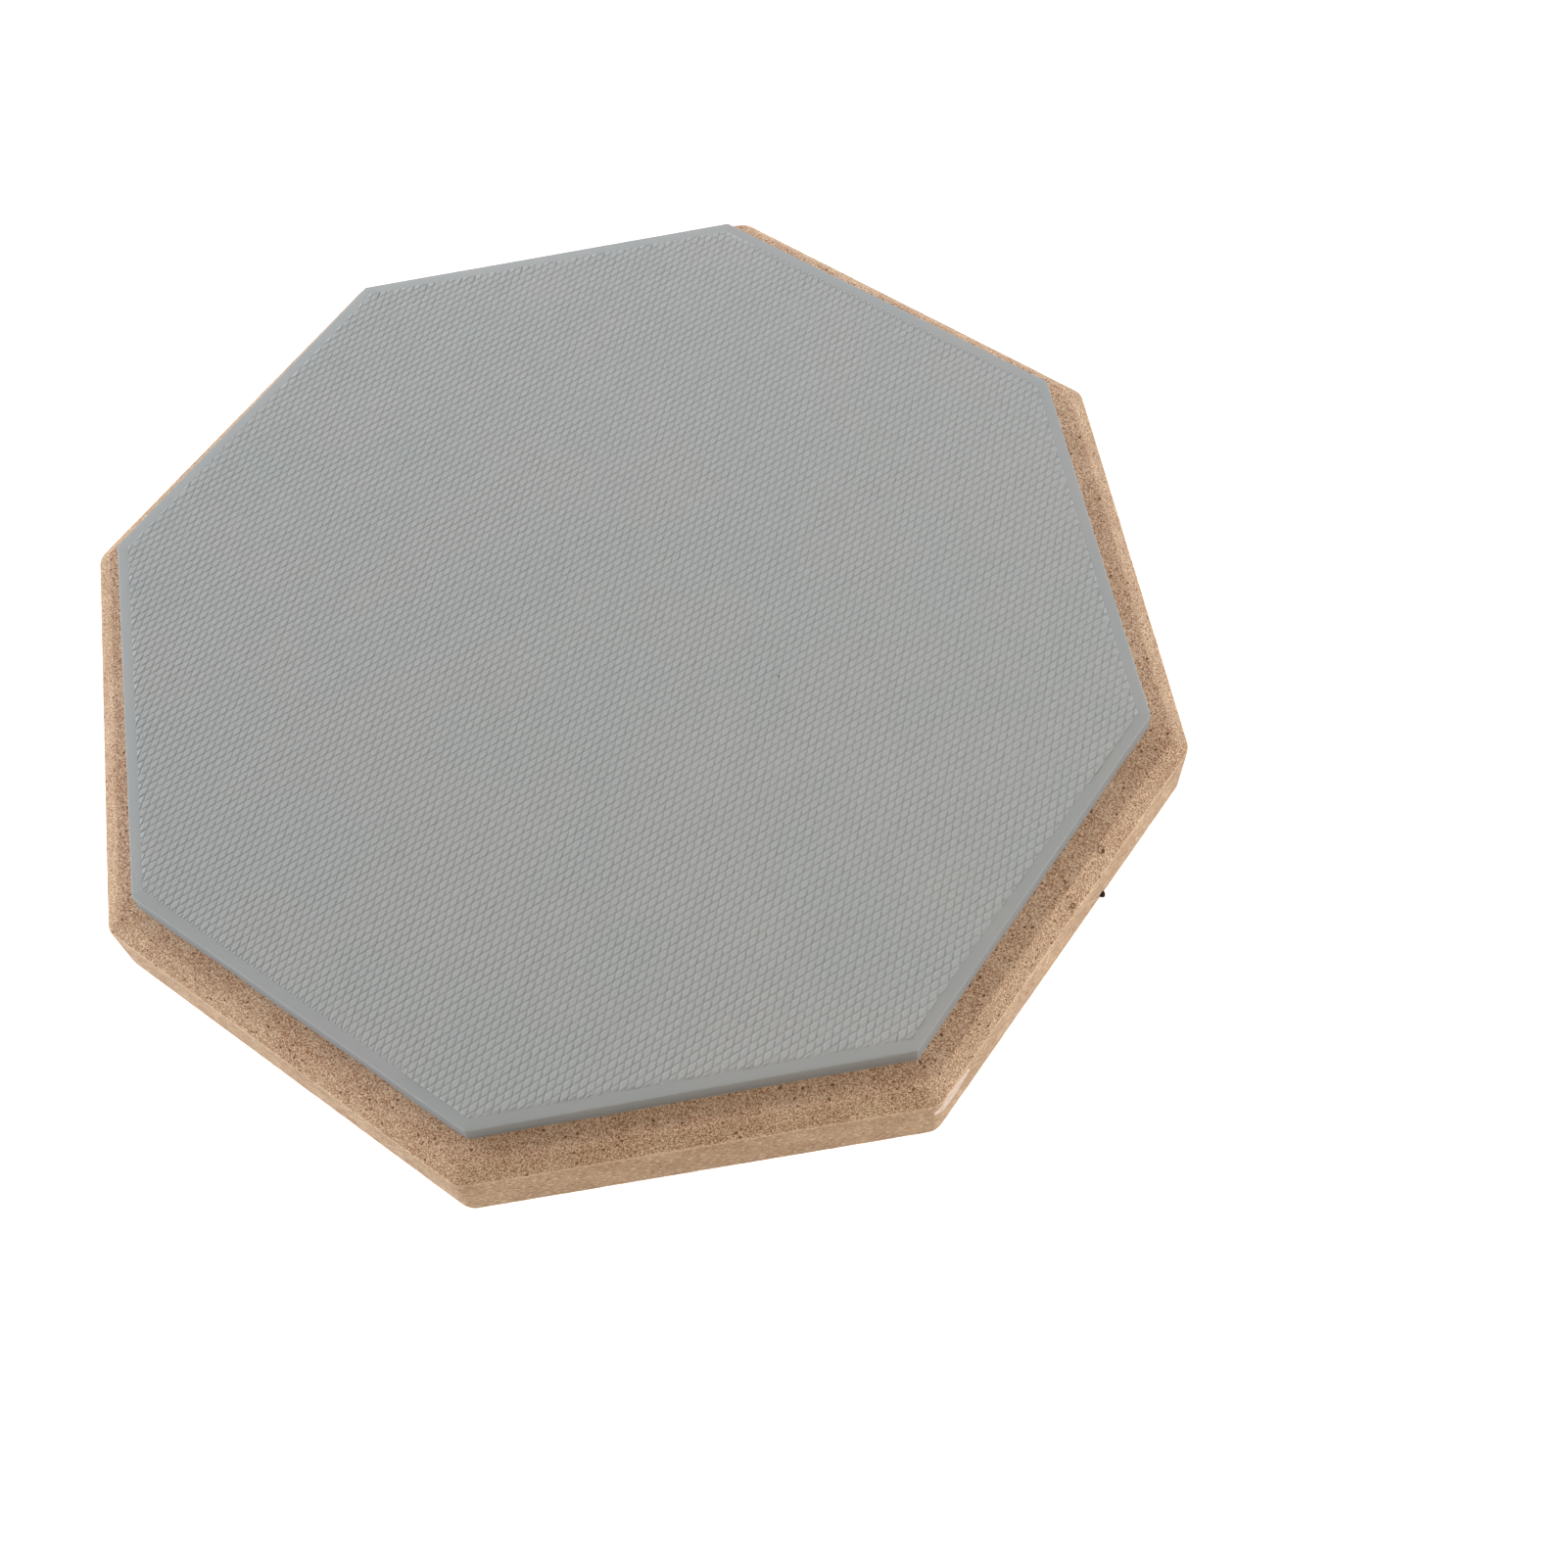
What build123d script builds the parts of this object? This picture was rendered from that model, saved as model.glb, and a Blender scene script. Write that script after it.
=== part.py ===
"""Octagonal drum practice pad.

A grey rubber playing sheet is glued to a bevelled fibreboard block, and a foam
sheet under the block keeps it still on a table or a snare drum.
Millimetres, +Z up, origin at the centre of the underside.
"""
import os

from build123d import *

SIDES = 8
FLAT_FORWARD = 180 / SIDES       # turns the octagon so that its flats face X and Y

# Fibreboard block
BOARD_FLATS = 205.0              # across opposite flats
BOARD_THICKNESS = 18.0
BOARD_CORNER_RADIUS = 4.0        # the eight upright corners are sanded round
TOP_BEVEL = 3.0                  # wide 45 degree bevel around the playing side
BOTTOM_BEVEL = 1.5               # narrow one around the underside

# Rubber playing sheet, laid on by hand
PAD_FLATS = 191.0
PAD_THICKNESS = 4.3
PAD_EDGE_RADIUS = 0.35           # the moulded upper edge is slightly rounded
PAD_SHIFT = (-0.6, 0.8)          # off the block's centre
PAD_TWIST = 0.6                  # degrees, against the block's flats

# Foam base sheet
FOAM_FLATS = 191.0
FOAM_THICKNESS = 4.3

# Contact adhesive, kept just inside the sheet it holds
GLUE_THICKNESS = 0.2
GLUE_SETBACK = 0.5

# Heights of the stack, from the underside up
FOAM_TOP = FOAM_THICKNESS
BOARD_BOTTOM = FOAM_TOP + GLUE_THICKNESS
BOARD_TOP = BOARD_BOTTOM + BOARD_THICKNESS
PAD_BOTTOM = BOARD_TOP + GLUE_THICKNESS


def octagon(across_flats, twist=0.0):
    """Draw a regular octagon with its flats facing X and Y."""
    RegularPolygon(
        radius=across_flats / 2,
        side_count=SIDES,
        major_radius=False,
        rotation=FLAT_FORWARD + twist,
    )


# Foam base sheet: plain cut octagon
with BuildPart() as foam_base:
    with BuildSketch(Plane.XY):
        octagon(FOAM_FLATS)
    extrude(amount=FOAM_THICKNESS)

# Adhesive between the foam and the block
with BuildPart() as foam_glue:
    with BuildSketch(Plane.XY.offset(FOAM_TOP)):
        octagon(FOAM_FLATS - 2 * GLUE_SETBACK)
    extrude(amount=GLUE_THICKNESS)

# Fibreboard block: round upright corners, bevelled top and bottom edges
with BuildPart() as base_board:
    with BuildSketch(Plane.XY.offset(BOARD_BOTTOM)) as board_outline:
        octagon(BOARD_FLATS)
        fillet(board_outline.vertices(), radius=BOARD_CORNER_RADIUS)
    extrude(amount=BOARD_THICKNESS)
    chamfer(base_board.faces().sort_by(Axis.Z)[-1].edges(), length=TOP_BEVEL)
    chamfer(base_board.faces().sort_by(Axis.Z)[0].edges(), length=BOTTOM_BEVEL)

# Adhesive between the block and the rubber
with BuildPart() as pad_glue:
    with BuildSketch(Plane.XY.offset(BOARD_TOP)):
        with Locations(PAD_SHIFT):
            octagon(PAD_FLATS - 2 * GLUE_SETBACK, PAD_TWIST)
    extrude(amount=GLUE_THICKNESS)

# Rubber playing sheet: square-cut sides, softened upper edge
with BuildPart() as rubber_pad:
    with BuildSketch(Plane.XY.offset(PAD_BOTTOM)):
        with Locations(PAD_SHIFT):
            octagon(PAD_FLATS, PAD_TWIST)
    extrude(amount=PAD_THICKNESS)
    fillet(rubber_pad.faces().sort_by(Axis.Z)[-1].edges(), radius=PAD_EDGE_RADIUS)

foam_base.part.label = "foam_base"
foam_glue.part.label = "foam_glue"
base_board.part.label = "base_board"
pad_glue.part.label = "pad_glue"
rubber_pad.part.label = "rubber_pad"

os.makedirs("parts", exist_ok=True)
export_step(foam_base.part, "parts/foam_base.step")
export_step(foam_glue.part, "parts/foam_glue.step")
export_step(base_board.part, "parts/base_board.step")
export_step(pad_glue.part, "parts/pad_glue.step")
export_step(rubber_pad.part, "parts/rubber_pad.step")
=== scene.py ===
"""Octagonal drum practice pad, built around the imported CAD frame.

The rubber sheet, the fibreboard block and the foam are modelled again here
with the detail that shows: the embossed grain, softened and slightly uneven
edges, and cut foam. Lengths named in millimetres are turned to metres by MM.
"""
import math
import random

import bmesh
import bpy
from mathutils import Euler, Matrix, Vector, noise


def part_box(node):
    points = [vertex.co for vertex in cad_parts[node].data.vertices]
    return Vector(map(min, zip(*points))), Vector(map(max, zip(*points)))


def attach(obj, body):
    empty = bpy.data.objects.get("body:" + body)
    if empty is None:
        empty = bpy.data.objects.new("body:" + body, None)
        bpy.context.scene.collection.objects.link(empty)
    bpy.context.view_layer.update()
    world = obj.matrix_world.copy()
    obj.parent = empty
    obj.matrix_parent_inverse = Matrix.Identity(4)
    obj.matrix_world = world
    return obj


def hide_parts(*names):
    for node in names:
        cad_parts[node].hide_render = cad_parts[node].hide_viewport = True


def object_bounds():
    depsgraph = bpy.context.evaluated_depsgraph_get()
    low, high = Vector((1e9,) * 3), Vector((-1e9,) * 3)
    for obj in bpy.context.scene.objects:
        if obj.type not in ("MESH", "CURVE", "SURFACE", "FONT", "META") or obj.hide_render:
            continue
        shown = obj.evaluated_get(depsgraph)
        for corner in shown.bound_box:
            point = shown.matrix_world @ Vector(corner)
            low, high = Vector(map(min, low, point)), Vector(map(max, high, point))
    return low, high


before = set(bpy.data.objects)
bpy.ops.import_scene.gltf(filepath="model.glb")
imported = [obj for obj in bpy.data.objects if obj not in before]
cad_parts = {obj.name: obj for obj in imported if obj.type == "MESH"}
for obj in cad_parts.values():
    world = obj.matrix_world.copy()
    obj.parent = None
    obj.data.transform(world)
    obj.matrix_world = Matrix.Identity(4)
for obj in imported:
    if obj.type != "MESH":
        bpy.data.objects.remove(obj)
cad_low, cad_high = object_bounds()

MM = 0.001
SIDES = 8


# ---------------------------------------------------------------- camera

CAMERA_PLACE = Vector((5.7, -211.5, 363.1)) * MM
CAMERA_PITCH = math.radians(27.47)      # up from straight down
CAMERA_ROLL = math.radians(-9.55)
CAMERA_LENS = 47.04                     # on a 36 mm sensor
CAMERA_SHIFT = (0.0717, 0.0045)


def make_camera():
    """Look down on the pad from the front, close enough for strong perspective."""
    data = bpy.data.cameras.new("camera")
    data.sensor_width = 36.0
    data.lens = CAMERA_LENS
    data.shift_x, data.shift_y = CAMERA_SHIFT
    data.clip_start = 0.01
    camera = bpy.data.objects.new("camera", data)
    bpy.context.scene.collection.objects.link(camera)
    turn = Euler((CAMERA_PITCH, 0.0, 0.0)).to_matrix() @ Matrix.Rotation(CAMERA_ROLL, 3, "Z")
    camera.matrix_world = Matrix.Translation(CAMERA_PLACE) @ turn.to_4x4()
    bpy.context.scene.camera = camera


make_camera()


# ---------------------------------------------------------------- node helpers

class Graph:
    """Short calls for building one material's node tree."""

    def __init__(self, name):
        self.material = bpy.data.materials.new(name)
        self.material.use_nodes = True
        self.tree = self.material.node_tree
        self.shader = self.tree.nodes["Principled BSDF"]

    def node(self, kind, **settings):
        made = self.tree.nodes.new(kind)
        for key, value in settings.items():
            setattr(made, key, value)
        return made

    def feed(self, socket, value):
        """Link a socket to another one, or set its value."""
        if isinstance(value, bpy.types.NodeSocket):
            self.tree.links.new(value, socket)
        else:
            socket.default_value = value

    def place(self):
        """The surface point in the object's own frame."""
        return self.node("ShaderNodeTexCoord").outputs["Object"]

    def stretch(self, point, scale, turn=0.0, center=(0.0, 0.0, 0.0)):
        """Scale a point per axis about a centre, after turning it about Z."""
        mapping = self.node("ShaderNodeMapping", vector_type="TEXTURE")
        self.feed(mapping.inputs["Vector"], point)
        mapping.inputs["Location"].default_value = center
        mapping.inputs["Rotation"].default_value = (0.0, 0.0, turn)
        mapping.inputs["Scale"].default_value = scale
        return mapping.outputs["Vector"]

    def reach(self, point, center, radii, turn=0.0):
        """Distance from a centre, counted in radii along each turned axis."""
        length = self.node("ShaderNodeVectorMath", operation="LENGTH")
        self.feed(length.inputs[0], self.stretch(point, radii, turn, center))
        return length.outputs["Value"]

    def noise(self, point, size, detail=3.0, rough=0.5, warp=0.0):
        """Noise from 0 to 1 whose features are about size metres across."""
        made = self.node("ShaderNodeTexNoise")
        self.feed(made.inputs["Vector"], point)
        made.inputs["Scale"].default_value = 1.0 / size
        made.inputs["Detail"].default_value = detail
        made.inputs["Roughness"].default_value = rough
        made.inputs["Distortion"].default_value = warp
        return made.outputs["Fac"]

    def cells(self, point, size):
        """Voronoi distance and random colour for cells of that size."""
        made = self.node("ShaderNodeTexVoronoi")
        self.feed(made.inputs["Vector"], point)
        made.inputs["Scale"].default_value = 1.0 / size
        return made.outputs["Distance"], made.outputs["Color"]

    def ramp(self, value, low, high, out_low=0.0, out_high=1.0, smooth=True):
        """Map low..high to out_low..out_high, held outside."""
        made = self.node("ShaderNodeMapRange")
        made.interpolation_type = "SMOOTHSTEP" if smooth else "LINEAR"
        self.feed(made.inputs["Value"], value)
        made.inputs["From Min"].default_value = low
        made.inputs["From Max"].default_value = high
        made.inputs["To Min"].default_value = out_low
        made.inputs["To Max"].default_value = out_high
        return made.outputs["Result"]

    def math(self, operation, first, second=0.0):
        made = self.node("ShaderNodeMath", operation=operation)
        self.feed(made.inputs[0], first)
        self.feed(made.inputs[1], second)
        return made.outputs[0]

    def mix(self, amount, first, second, blend="MIX"):
        """Blend two colours."""
        made = self.node("ShaderNodeMix", data_type="RGBA", blend_type=blend)
        self.feed(made.inputs["Factor"], amount)
        self.feed(made.inputs["A"], first)
        self.feed(made.inputs["B"], second)
        return next(out for out in made.outputs if out.type == "RGBA")

    def attribute(self, name):
        return self.node("ShaderNodeAttribute", attribute_name=name).outputs["Fac"]

    def bump(self, height, distance, strength=1.0, under=None):
        """Add a bump layer, in metres, over another one."""
        made = self.node("ShaderNodeBump")
        made.inputs["Strength"].default_value = strength
        made.inputs["Distance"].default_value = distance
        self.feed(made.inputs["Height"], height)
        if under is not None:
            self.feed(made.inputs["Normal"], under)
        return made.outputs["Normal"]

    def finish(self, color, rough, normal=None, specular=0.5):
        self.feed(self.shader.inputs["Base Color"], color)
        self.feed(self.shader.inputs["Roughness"], rough)
        self.shader.inputs["Specular IOR Level"].default_value = specular
        if normal is not None:
            self.feed(self.shader.inputs["Normal"], normal)
        return self.material


# ---------------------------------------------------------------- materials

MDF_FACE = (0.572, 0.383, 0.254, 1.0)        # sanded face
MDF_BEVEL = (0.460, 0.315, 0.202, 1.0)       # machined bevel
MDF_SIDE = (0.365, 0.251, 0.159, 1.0)        # machined side
MDF_ARRIS = (0.66, 0.50, 0.36, 1.0)          # lighter tone along the arrises between them
MDF_HOLLOW = (0.44, 0.25, 0.17, 1.0)         # tint in the hollows between fibres
MDF_FIBRE = (0.86, 0.70, 0.52, 1.0)
MDF_BARK = (0.110, 0.042, 0.024, 1.0)
MDF_PITCH = (0.012, 0.010, 0.009, 1.0)
KNOTS = (                                    # centre, radii inside and outside in mm, darkness
    (Vector((80.85, -60.57, 22.00)) * MM, 0.55, 0.95, 0.7),
    (Vector((81.25, -60.75, 21.59)) * MM, 0.00, 0.48, 1.0),
    (Vector((73.60, -69.90, 20.53)) * MM, 0.30, 0.65, 0.8),
)
SMEAR_CENTER = Vector((45.61, -99.35, 16.3)) * MM
SMEAR_RADII = Vector((3.0, 5.2, 2.9)) * MM   # outwards, along the side, and up
SMEAR_TURN = math.radians(-45)
# Paler tint of the glossy glue smear and its paler rim: painted highlight
SMEAR_HIGHLIGHT = (0.66, 0.52, 0.46, 1.0)
SMEAR_RIM_HIGHLIGHT = (0.86, 0.79, 0.75, 1.0)


def bark_specks(graph, point):
    """Scattered specks of mixed sizes, from 0 to 1."""
    specks = None
    for size, most, turn in ((0.75 * MM, 0.34, 0.4), (1.9 * MM, 0.17, 1.9), (4.2 * MM, 0.09, 2.8)):
        distance, tint = graph.cells(graph.stretch(point, (1.5, 1.0, 1.0), turn), size)
        picked = graph.ramp(tint, 0.58, 0.88, 0.0, most)
        reach = graph.math("SUBTRACT", picked, distance)
        speck = graph.ramp(reach, 0.0, 0.06)
        specks = speck if specks is None else graph.math("MAXIMUM", specks, speck)
    return specks


def knot_rings(graph, point):
    """The dark rings of two small knots on the front right bevel, from 0 to 1."""
    rings = None
    for center, inside, outside, dark in KNOTS:
        away = graph.reach(point, center, (MM, MM, MM))
        ring = graph.ramp(away, outside, 0.8 * outside, 0.0, dark)
        if inside:
            ring = graph.math("MULTIPLY", ring, graph.ramp(away, 0.8 * inside, inside))
        rings = ring if rings is None else graph.math("MAXIMUM", rings, ring)
    return rings


def fibreboard():
    """Bare sanded fibreboard: matted fibres, bark specks, and layered sides."""
    graph = Graph("fibreboard")
    point = graph.place()
    edge = graph.attribute("machined")
    bevel = graph.ramp(edge, 0.05, 0.28)
    side = graph.ramp(edge, 0.4, 0.9)

    # Matted fibres lying every way, as three turned streak patterns
    streaks = None
    for turn in (0.3, 1.4, 2.5):
        lying = graph.stretch(point, (2.0, 1.0, 1.0), turn)
        streak = graph.noise(lying, 0.22 * MM, detail=3.0, rough=0.8)
        streaks = streak if streaks is None else graph.math("ADD", streaks, streak)
    mat = graph.ramp(streaks, 1.34, 1.66, smooth=False)

    # Along the machined side the layers show as level lines
    layered = graph.stretch(point, (6.0, 6.0, 1.0))
    layers = graph.ramp(graph.noise(layered, 0.19 * MM, detail=3.0, rough=0.8), 0.38, 0.62, smooth=False)
    grain = graph.mix(graph.math("MULTIPLY", side, 0.85), mat, layers)

    cloud = graph.noise(point, 8 * MM, detail=3.0)
    grain = graph.math("ADD", grain, graph.ramp(cloud, 0.3, 0.7, -0.07, 0.07))
    color = graph.mix(bevel, MDF_FACE, MDF_BEVEL)
    color = graph.mix(side, color, MDF_SIDE)
    hollow = graph.ramp(grain, 0.48, 0.0, 0.0, 1.0)
    color = graph.mix(hollow, color, MDF_HOLLOW, "MULTIPLY")
    color = graph.mix(graph.ramp(grain, 0.64, 0.95, 0.0, 0.7), color, MDF_FIBRE)
    arris = graph.math("MULTIPLY", graph.ramp(edge, 0.32, 0.5), graph.ramp(edge, 1.0, 0.8))
    color = graph.mix(graph.math("MULTIPLY", arris, graph.ramp(grain, 0.2, 0.6, 0.3, 0.9)), color, MDF_ARRIS)

    # Bark specks, fewer on the side, and a clear glue smear at one corner of it, glossier and paler with
    # painted highlight
    specks = graph.math("MULTIPLY", bark_specks(graph, point), graph.ramp(side, 0.0, 1.0, 0.85, 0.3))
    color = graph.mix(graph.math("MAXIMUM", specks, knot_rings(graph, point)), color, MDF_BARK)
    away = graph.reach(point, SMEAR_CENTER, SMEAR_RADII, SMEAR_TURN)
    away = graph.math("ADD", away, graph.ramp(graph.noise(point, 2.5 * MM), 0.3, 0.7, -0.12, 0.12))
    film = graph.ramp(away, 1.0, 0.9)
    rim = graph.math("MULTIPLY", film, graph.ramp(away, 0.85, 0.94))
    # Painted highlight: the smear is paler over the film and paler still along its rim; its gloss comes from
    # the roughness below
    color = graph.mix(graph.math("MULTIPLY", film, 0.30), color, SMEAR_HIGHLIGHT)
    color = graph.mix(graph.math("MULTIPLY", rim, 0.6), color, SMEAR_RIM_HIGHLIGHT)
    color = graph.mix(graph.attribute("pitch"), color, MDF_PITCH)
    rough = graph.ramp(grain, 0.2, 0.8, 0.75, 0.88)
    rough = graph.math("MULTIPLY", rough, graph.ramp(film, 0.0, 1.0, 1.0, 0.4))

    normal = graph.bump(grain, 0.07 * MM, 0.8)
    return graph.finish(color, rough, normal, specular=0.25)


RUBBER_GREY = (0.352, 0.375, 0.381, 1.0)
RUBBER_WARM = (0.366, 0.378, 0.383, 1.0)
RUBBER_DUSTY = (0.420, 0.443, 0.453, 1.0)
RUBBER_CUT = (0.57, 0.59, 0.62, 1.0)     # tint of the cut side against the moulded face
RUBBER_SPECK = (0.09, 0.06, 0.06, 1.0)
SPECK_CENTER = Vector((29.3, -16.42, 27.2)) * MM
SPECK_RADII = Vector((0.30, 0.30, 1.0)) * MM


def playing_rubber():
    """Matte grey rubber, faintly mottled and dusty, with a dull sheen."""
    graph = Graph("playing_rubber")
    point = graph.place()
    cloud = graph.noise(point, 24 * MM, detail=2.0)
    color = graph.mix(graph.ramp(cloud, 0.35, 0.65), RUBBER_GREY, RUBBER_WARM)
    dust = graph.noise(point, 0.55 * MM, detail=4.0, rough=0.7)
    color = graph.mix(graph.ramp(dust, 0.58, 0.80, 0.0, 0.5), color, RUBBER_DUSTY)
    color = graph.mix(graph.attribute("cut"), color, RUBBER_CUT, "MULTIPLY")
    speck = graph.ramp(graph.reach(point, SPECK_CENTER, SPECK_RADII), 1.0, 0.5, 0.0, 0.85)
    color = graph.mix(speck, color, RUBBER_SPECK)
    skin = graph.noise(point, 0.25 * MM, detail=3.0, rough=0.6)
    normal = graph.bump(skin, 0.015 * MM, 0.6)
    rough = graph.ramp(dust, 0.3, 0.7, 0.50, 0.62)
    return graph.finish(color, rough, normal, specular=0.35)


def base_foam():
    """Closed-cell foam: near black, with fine open pores where it is cut."""
    graph = Graph("base_foam")
    point = graph.place()
    distance, tint = graph.cells(point, 0.7 * MM)
    pore = graph.ramp(distance, 0.15, 0.5)
    shade = graph.mix(graph.ramp(tint, 0.0, 1.0), (0.022, 0.022, 0.024, 1.0), (0.045, 0.045, 0.048, 1.0))
    color = graph.mix(pore, (0.012, 0.012, 0.013, 1.0), shade)
    cloud = graph.noise(point, 9 * MM)
    normal = graph.bump(pore, 0.08 * MM, 0.8)
    return graph.finish(color, graph.ramp(cloud, 0.3, 0.7, 0.78, 0.9), normal, specular=0.3)


def dried_glue():
    """Thin amber contact adhesive."""
    graph = Graph("dried_glue")
    cloud = graph.noise(graph.place(), 2 * MM, detail=3.0)
    color = graph.mix(cloud, (0.45, 0.36, 0.22, 1.0), (0.62, 0.54, 0.38, 1.0))
    return graph.finish(color, graph.ramp(cloud, 0.3, 0.7, 0.3, 0.5), graph.bump(cloud, 0.05 * MM))


MATERIALS = {
    "fibreboard": fibreboard(),
    "playing_rubber": playing_rubber(),
    "base_foam": base_foam(),
    "dried_glue": dried_glue(),
}


# ---------------------------------------------------------------- mesh helpers

def octagon_corner(across_flats, index, center, twist):
    """Corner number index of a regular octagon whose flats face X and Y."""
    reach = across_flats / 2 / math.cos(math.pi / SIDES)
    angle = twist + math.pi / SIDES + index * 2 * math.pi / SIDES
    return center + Vector((math.cos(angle), math.sin(angle), 0.0)) * reach


def octagon_loop(across_flats, corner_radius, side_steps, center, twist=0.0, arc_steps=5):
    """Points round an octagon with rounded corners, and the outward direction at each."""
    loop = []
    lean = math.pi / SIDES
    setback = corner_radius * math.tan(lean)
    corners = [octagon_corner(across_flats, i, center, twist) for i in range(SIDES)]
    for i, corner in enumerate(corners):
        following = corners[(i + 1) % SIDES]
        along = (following - corner).normalized()
        mid_angle = twist + lean + i * 2 * lean
        hub = corner - Vector((math.cos(mid_angle), math.sin(mid_angle), 0.0)) * (
            corner_radius / math.cos(lean)
        )
        for step in range(arc_steps + 1):
            angle = mid_angle - lean + 2 * lean * step / arc_steps
            out = Vector((math.cos(angle), math.sin(angle), 0.0))
            loop.append((hub + out * corner_radius, out))
        out = Vector((along.y, -along.x, 0.0))
        start, end = corner + along * setback, following - along * setback
        for step in range(1, side_steps):
            loop.append((start.lerp(end, step / side_steps), out))
    return loop


def bridge(mesh, lower, upper):
    """Join two closed loops of as many points with quads."""
    count = len(lower)
    for i in range(count):
        j = (i + 1) % count
        mesh.faces.new((lower[i], lower[j], upper[j], upper[i]))


def make_piece(name, mesh, material, node):
    """Turn a bmesh into a smooth-shaded piece that rides on the root and replaces a node."""
    data = bpy.data.meshes.new(name)
    mesh.to_mesh(data)
    mesh.free()
    data.polygons.foreach_set("use_smooth", [True] * len(data.polygons))
    data.materials.append(material)
    piece = bpy.data.objects.new(name, data)
    bpy.context.scene.collection.objects.link(piece)
    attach(piece, "root")
    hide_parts(node)
    return piece


def box_of(node):
    """Centre, width and bottom and top heights of a CAD node."""
    low, high = (Vector(corner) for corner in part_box(node))
    return (low + high) / 2, high.x - low.x, low.z, high.z


# ---------------------------------------------------------------- fibreboard block

BOARD_CORNER = 4.0 * MM
TOP_BEVEL = 3.0 * MM
BOTTOM_BEVEL = 1.5 * MM
EDGE_WEAR = 0.3 * MM             # how far each sharp edge is sanded back
BOARD_STEPS = 100                # points along each side
BOARD_UNEVEN = 0.05 * MM
PITCH_CENTER = Vector((82.05, -63.11, 7.4)) * MM
PITCH_RADII = Vector((0.66, 0.66, 0.80)) * MM


def board_profile(bottom, top):
    """Rings from the underside up: height, inset from the full width, and edge share."""
    soft = EDGE_WEAR
    return (
        (bottom, BOTTOM_BEVEL + soft, 0.0),
        (bottom + 0.1 * soft, BOTTOM_BEVEL + 0.3 * soft, 0.3),
        (bottom + 0.7 * soft, BOTTOM_BEVEL - 0.5 * soft, 0.6),
        (bottom + BOTTOM_BEVEL - 0.6 * soft, 0.6 * soft, 0.6),
        (bottom + BOTTOM_BEVEL, 0.15 * soft, 0.9),
        (bottom + BOTTOM_BEVEL + soft, 0.0, 1.0),
        (top - TOP_BEVEL - 1.2 * soft, 0.0, 1.0),
        (top - TOP_BEVEL - 0.2 * soft, 0.07 * soft, 0.8),
        (top - TOP_BEVEL + 0.35 * soft, 0.45 * soft, 0.5),
        (top - TOP_BEVEL + 1.1 * soft, 1.1 * soft, 0.3),
        (top - 1.1 * soft, TOP_BEVEL - 1.1 * soft, 0.3),
        (top - 0.35 * soft, TOP_BEVEL - 0.1 * soft, 0.15),
        (top, TOP_BEVEL + 1.2 * soft, 0.0),
    )


def add_pitch_drop(mesh, machined, pitch):
    """The small black drop stuck to the front right side, half sunk into it."""
    drop = bmesh.ops.create_icosphere(mesh, subdivisions=3, radius=1.0)["verts"]
    for vert in drop:
        lump = 1.0 + 0.15 * noise.noise(vert.co * 1.5)
        vert.co = PITCH_CENTER + vert.co * PITCH_RADII * lump
        vert[machined] = 1.0
        vert[pitch] = 1.0


def make_board():
    center, width, bottom, top = box_of("base_board")
    center.z = 0.0
    mesh = bmesh.new()
    machined = mesh.verts.layers.float.new("machined")
    pitch = mesh.verts.layers.float.new("pitch")
    rings = []
    for height, inset, share in board_profile(bottom, top):
        radius = max(BOARD_CORNER - inset, 0.6 * MM)
        loop = octagon_loop(width - 2 * inset, radius, BOARD_STEPS, center)
        ring = []
        for point, out in loop:
            wave = noise.noise(Vector((point.x, point.y, height * 3)) / (2.2 * MM))
            place = point + out * (wave - 0.5) * BOARD_UNEVEN
            vert = mesh.verts.new((place.x, place.y, height))
            vert[machined] = share
            ring.append(vert)
        rings.append(ring)
    for lower, upper in zip(rings, rings[1:]):
        bridge(mesh, lower, upper)
    mesh.faces.new(rings[-1])
    mesh.faces.new(rings[0][::-1])
    add_pitch_drop(mesh, machined, pitch)
    make_piece("board_block", mesh, MATERIALS["fibreboard"], "base_board")


make_board()


# ---------------------------------------------------------------- rubber playing sheet

PAD_FLATS = 191.0 * MM
PAD_TWIST = math.radians(0.64)
BORDER = 2.2 * MM                # plain margin around the grain
GRAIN_LONG = 3.6 * MM            # diamond, tip to tip
GRAIN_WIDE = 1.484 * MM
GRAIN_TURN = math.radians(46.3)
GRAIN_HEIGHT = 0.20 * MM
GRAIN_SHOULDER = 0.20            # where a diamond's flank meets its crown, as a share of its side
SHOULDER_LIFT = 0.95             # height there, as a share of the crown's
GRAIN_JITTER = 0.02 * MM
LAY_DRIFT = 0.15 * MM            # how far the rows wander
LAY_DRIFT_SIZE = 14 * MM
SHEET_SWELL = 0.10 * MM          # slow unevenness of the glued sheet
SHEET_SWELL_SIZE = 26 * MM
PAD_STEPS = 40
BORDER_DROP = 0.13 * MM          # the border falls away towards the cut edge
BORDER_SHADE = 0.25              # how far the smooth border takes on the cut side's tint


def sheet_swell(x, y):
    return noise.noise(Vector((x, y, 0.37)) / SHEET_SWELL_SIZE) * SHEET_SWELL


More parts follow.
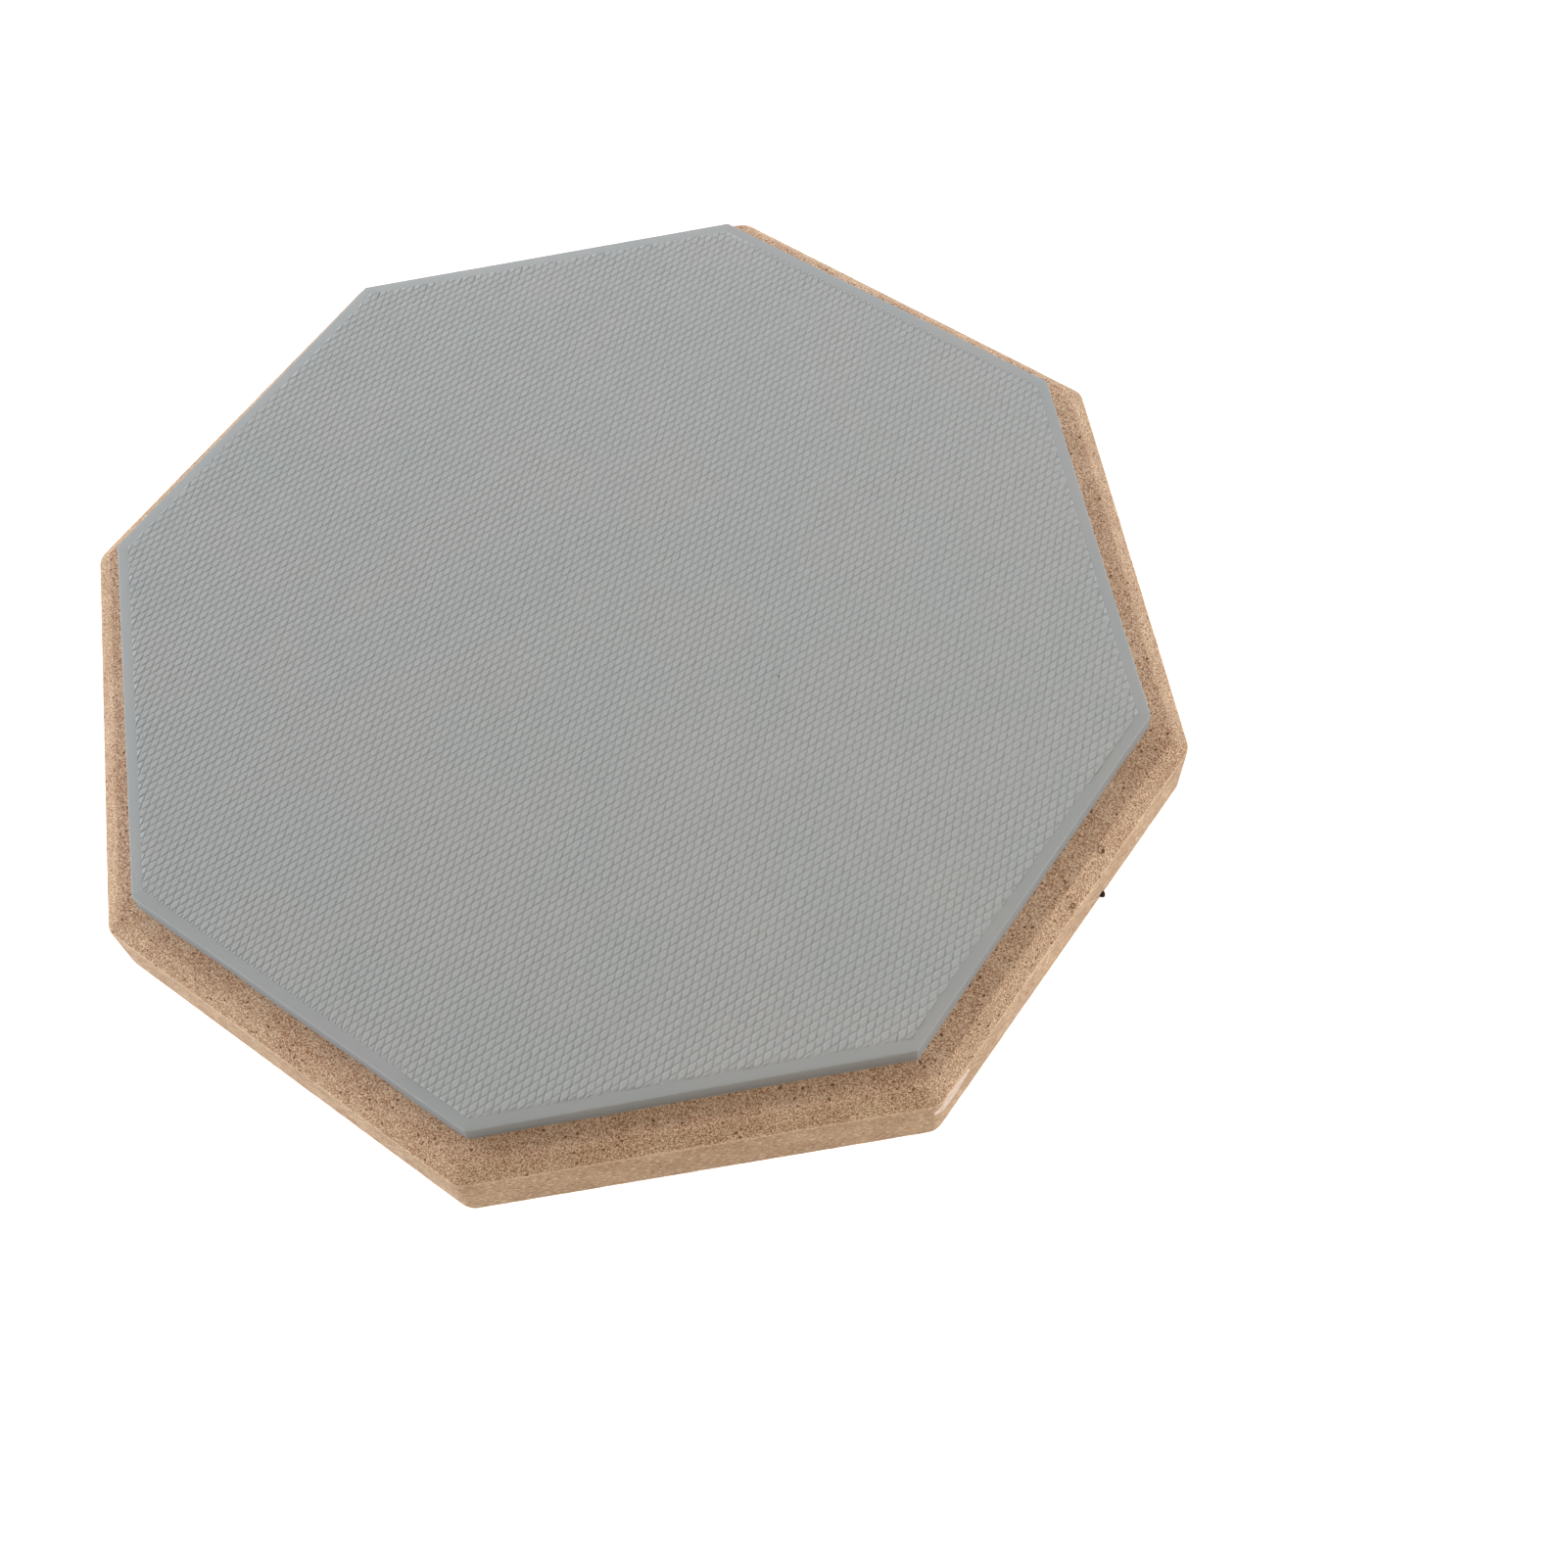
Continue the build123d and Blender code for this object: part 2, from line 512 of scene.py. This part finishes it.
def grain_field(mesh, center, level, cut):
    """The embossed field: rows of raised diamonds, cut to the inner octagon."""
    field = PAD_FLATS - 2 * BORDER
    reach = field / 2 / math.cos(math.pi / SIDES)
    long_way = Vector((math.cos(GRAIN_TURN), math.sin(GRAIN_TURN), 0.0)) * GRAIN_LONG / 2
    wide_way = Vector((-math.sin(GRAIN_TURN), math.cos(GRAIN_TURN), 0.0)) * GRAIN_WIDE / 2
    first, second = long_way + wide_way, long_way - wide_way
    rows = math.ceil(reach / GRAIN_WIDE + reach / GRAIN_LONG) + 2
    dice = random.Random(41)
    tips = {}

    def lay(across, along, rise, jitter=0.0):
        """A vertex at a place on the lattice, where the rows wander a little."""
        flat = center + first * across + second * along
        drift = noise.noise_vector(Vector((flat.x, flat.y, 0.0)) / LAY_DRIFT_SIZE) * LAY_DRIFT
        x = flat.x + drift.x + dice.uniform(-jitter, jitter)
        y = flat.y + drift.y + dice.uniform(-jitter, jitter)
        return mesh.verts.new((x, y, level + rise))

    def tip(i, j):
        if (i, j) not in tips:
            tips[i, j] = lay(i, j, 0.0)
        return tips[i, j]

    near, far = GRAIN_SHOULDER, 1.0 - GRAIN_SHOULDER
    for i in range(-rows, rows):
        for j in range(-rows, rows):
            middle = first * (i + 0.5) + second * (j + 0.5)
            if middle.length > reach + GRAIN_LONG:
                continue
            lift = GRAIN_HEIGHT * dice.uniform(0.92, 1.08)
            outline = [tip(i, j), tip(i, j + 1), tip(i + 1, j + 1), tip(i + 1, j)]
            shoulder = [
                lay(i + a, j + b, lift * SHOULDER_LIFT, GRAIN_JITTER / 2)
                for a, b in ((near, near), (near, far), (far, far), (far, near))
            ]
            crown = lay(i + 0.5, j + 0.5, lift, GRAIN_JITTER)
            for k in range(4):
                after = (k + 1) % 4
                mesh.faces.new((outline[k], outline[after], shoulder[after], shoulder[k]))
                mesh.faces.new((shoulder[k], shoulder[after], crown))
                mesh.edges.get((outline[k], outline[after])).smooth = False
                mesh.edges.get((shoulder[k], shoulder[after])).smooth = False
    cut_to_octagon(mesh, field, center)
    settle_edge(mesh, level, cut)


def side_direction(index):
    angle = PAD_TWIST + index * 2 * math.pi / SIDES
    return Vector((math.cos(angle), math.sin(angle), 0.0))


def cut_to_octagon(mesh, across_flats, center):
    for index in range(SIDES):
        out = side_direction(index)
        bmesh.ops.bisect_plane(
            mesh,
            geom=mesh.verts[:] + mesh.edges[:] + mesh.faces[:],
            plane_co=center + out * across_flats / 2,
            plane_no=out,
            clear_outer=True,
        )


def settle_edge(mesh, level, cut):
    """Bring the cut outline of the grain down to the plain border, with a crisp fold."""
    bmesh.ops.remove_doubles(mesh, verts=mesh.verts[:], dist=0.01 * MM)
    for edge in mesh.edges:
        if edge.is_boundary:
            edge.smooth = False
            for vert in edge.verts:
                vert.co.z = level
                vert[cut] = BORDER_SHADE


def pad_profile(bottom, top):
    """Rings from the top edge down: height, how far out, how uneven, and share of cut face."""
    rim = top - BORDER_DROP
    return (
        (rim, -0.25 * MM, 0.0, BORDER_SHADE),
        (rim - 0.03 * MM, -0.10 * MM, 0.02 * MM, BORDER_SHADE),
        (rim - 0.11 * MM, -0.02 * MM, 0.03 * MM, 0.5),
        (rim - 0.25 * MM, 0.0, 0.04 * MM, 1.0),
        (bottom + 0.80 * MM, 0.02 * MM, 0.08 * MM, 1.0),
        (bottom + 0.45 * MM, 0.04 * MM, 0.10 * MM, 1.0),
        (bottom + 0.30 * MM, 0.16 * MM, 0.20 * MM, 0.6),
        (bottom + 0.12 * MM, 0.18 * MM, 0.22 * MM, 0.6),
        (bottom, 0.02 * MM, 0.10 * MM, 1.0),
        (bottom, -0.6 * MM, 0.0, 1.0),
    )


def make_pad():
    center, _, bottom, top = box_of("rubber_pad")
    center.z = 0.0
    mesh = bmesh.new()
    cut = mesh.verts.layers.float.new("cut")
    grain_field(mesh, center, top, cut)
    inner = [edge for edge in mesh.edges if edge.is_boundary]

    rings = []
    for height, out_by, uneven, share in pad_profile(bottom, top):
        loop = octagon_loop(PAD_FLATS + 2 * out_by, 0.35 * MM, PAD_STEPS, center, PAD_TWIST, 2)
        ring = []
        for point, out in loop:
            wave = noise.noise(Vector((point.x, point.y, 0.0)) / (17 * MM))
            place = point + out * wave * uneven
            vert = mesh.verts.new((place.x, place.y, height))
            vert[cut] = share
            ring.append(vert)
        rings.append(ring)
    for upper, lower in zip(rings, rings[1:]):
        bridge(mesh, lower, upper)
    mesh.faces.new(rings[-1][::-1])
    outer = [mesh.edges.get((a, b)) for a, b in zip(rings[0], rings[0][1:] + rings[0][:1])]
    bmesh.ops.triangle_fill(mesh, use_beauty=True, edges=inner + outer)
    bmesh.ops.recalc_face_normals(mesh, faces=mesh.faces[:])
    for vert in mesh.verts:
        if vert.co.z > top - 0.5 * MM:
            vert.co.z += sheet_swell(vert.co.x, vert.co.y)
    make_piece("rubber_sheet", mesh, MATERIALS["playing_rubber"], "rubber_pad")


make_pad()


# ---------------------------------------------------------------- foam base sheet

FOAM_STEPS = 50
FOAM_UNEVEN = 0.25 * MM


def make_foam():
    center, width, bottom, top = box_of("foam_base")
    center.z = 0.0
    mesh = bmesh.new()
    rings = []
    # Height, inset and unevenness: the cut edge bulges a little under the block's weight
    for height, inset, uneven in (
        (bottom, 0.7 * MM, 0.2),
        (bottom + 0.15 * MM, 0.35 * MM, 0.6),
        (bottom + 0.6 * MM, 0.1 * MM, 1.0),
        ((bottom + top) / 2, -0.1 * MM, 1.0),
        (top - 0.5 * MM, 0.1 * MM, 1.0),
        (top, 0.3 * MM, 0.4),
    ):
        ring = []
        for point, out in octagon_loop(width - 2 * inset, 1.2 * MM, FOAM_STEPS, center):
            wave = noise.noise(Vector((point.x, point.y, height * 4)) / (6 * MM))
            place = point + out * wave * uneven * FOAM_UNEVEN
            ring.append(mesh.verts.new((place.x, place.y, height)))
        rings.append(ring)
    for lower, upper in zip(rings, rings[1:]):
        bridge(mesh, lower, upper)
    mesh.faces.new(rings[-1])
    mesh.faces.new(rings[0][::-1])
    piece = make_piece("foam_sheet", mesh, MATERIALS["base_foam"], "foam_base")


make_foam()


# ---------------------------------------------------------------- adhesive films

for glue in ("pad_glue", "foam_glue"):
    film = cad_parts[glue]
    film.data.materials.clear()
    film.data.materials.append(MATERIALS["dried_glue"])


# ---------------------------------------------------------------- floor, light and view

FLOOR_SIZE = 6.0
FLOOR_GLOW = 1.1                 # a lit table, so that shadows stay faint
FLOOR_PALE = (0.30, 0.30, 0.30, 1.0)
FLOOR_PALER = (0.32, 0.32, 0.32, 1.0)
FLOOR_WARM = (1.0, 0.955, 0.91, 1.0)
WHITE = (1.0, 1.0, 1.0, 1.0)
ROOM_FILL = 0.02


def make_floor():
    graph = Graph("floor")
    cloud = graph.noise(graph.place(), 400 * MM)
    graph.shader.inputs["Emission Color"].default_value = FLOOR_WARM
    graph.shader.inputs["Emission Strength"].default_value = FLOOR_GLOW
    material = graph.finish(graph.mix(cloud, FLOOR_PALE, FLOOR_PALER), 0.9, specular=0.0)
    mesh = bmesh.new()
    bmesh.ops.create_grid(mesh, x_segments=4, y_segments=4, size=FLOOR_SIZE / 2)
    data = bpy.data.meshes.new("floor")
    mesh.to_mesh(data)
    mesh.free()
    data.materials.append(material)
    floor = bpy.data.objects.new("floor", data)
    floor.location.z = cad_low.z
    bpy.context.scene.collection.objects.link(floor)


def make_room():
    """A white room to look at, which adds hardly any light of its own."""
    world = bpy.data.worlds.new("studio")
    world.use_nodes = True
    nodes, links = world.node_tree.nodes, world.node_tree.links
    background = nodes["Background"]
    background.inputs["Color"].default_value = WHITE
    seen = nodes.new("ShaderNodeMapRange")
    seen.inputs["To Min"].default_value = ROOM_FILL
    links.new(nodes.new("ShaderNodeLightPath").outputs["Is Camera Ray"], seen.inputs["Value"])
    links.new(seen.outputs["Result"], background.inputs["Strength"])
    bpy.context.scene.world = world


def soft_box(name, azimuth, elevation, distance, watts, tint):
    """A square soft box aimed at the pad. Azimuth 0 is on +X and 90 on +Y, in degrees."""
    data = bpy.data.lights.new(name, "AREA")
    data.shape = "SQUARE"
    data.size = distance * BOX_SPREAD
    data.energy = watts
    data.color = tint
    light = bpy.data.objects.new(name, data)
    a, e = math.radians(azimuth), math.radians(elevation)
    way = Vector((math.cos(a) * math.cos(e), math.sin(a) * math.cos(e), math.sin(e)))
    light.location = way * distance
    light.rotation_euler = (-way).to_track_quat("-Z", "Y").to_euler()
    light.visible_camera = False
    bpy.context.scene.collection.objects.link(light)


FAR, CLOSE = 1.3, 0.5            # metres from the pad
BOX_SPREAD = 0.48                # a box's width as a share of its distance
NEUTRAL, COOL, WARM = (1.0, 1.0, 1.0), (0.97, 1.0, 1.05), (1.10, 0.93, 0.72)
SOFT_BOXES = (
    # name, azimuth, elevation, distance, watts, tint: strongest from the back left
    ("key_back_left", 143, 35, FAR, 9.0, NEUTRAL),
    ("back_high", 96, 42, FAR, 3.9, NEUTRAL),
    ("left_low", 185, 6, FAR, 18.3, COOL),
    ("right_low", 0, 6, FAR, 17.3, COOL),
    ("back_low", 100, 10, CLOSE, 0.8, NEUTRAL),
    ("back_right", 46, 28, CLOSE, 0.60, NEUTRAL),
    ("front_right", 313, 18, CLOSE, 0.63, WARM),
    ("front_right_high", 315, 55, CLOSE, 0.30, WARM),
    ("front_left", 240, 10, CLOSE, 0.44, WARM),
)

make_floor()
make_room()
for box in SOFT_BOXES:
    soft_box(*box)

bpy.context.scene.view_settings.view_transform = "Standard"
bpy.context.scene.view_settings.look = "None"
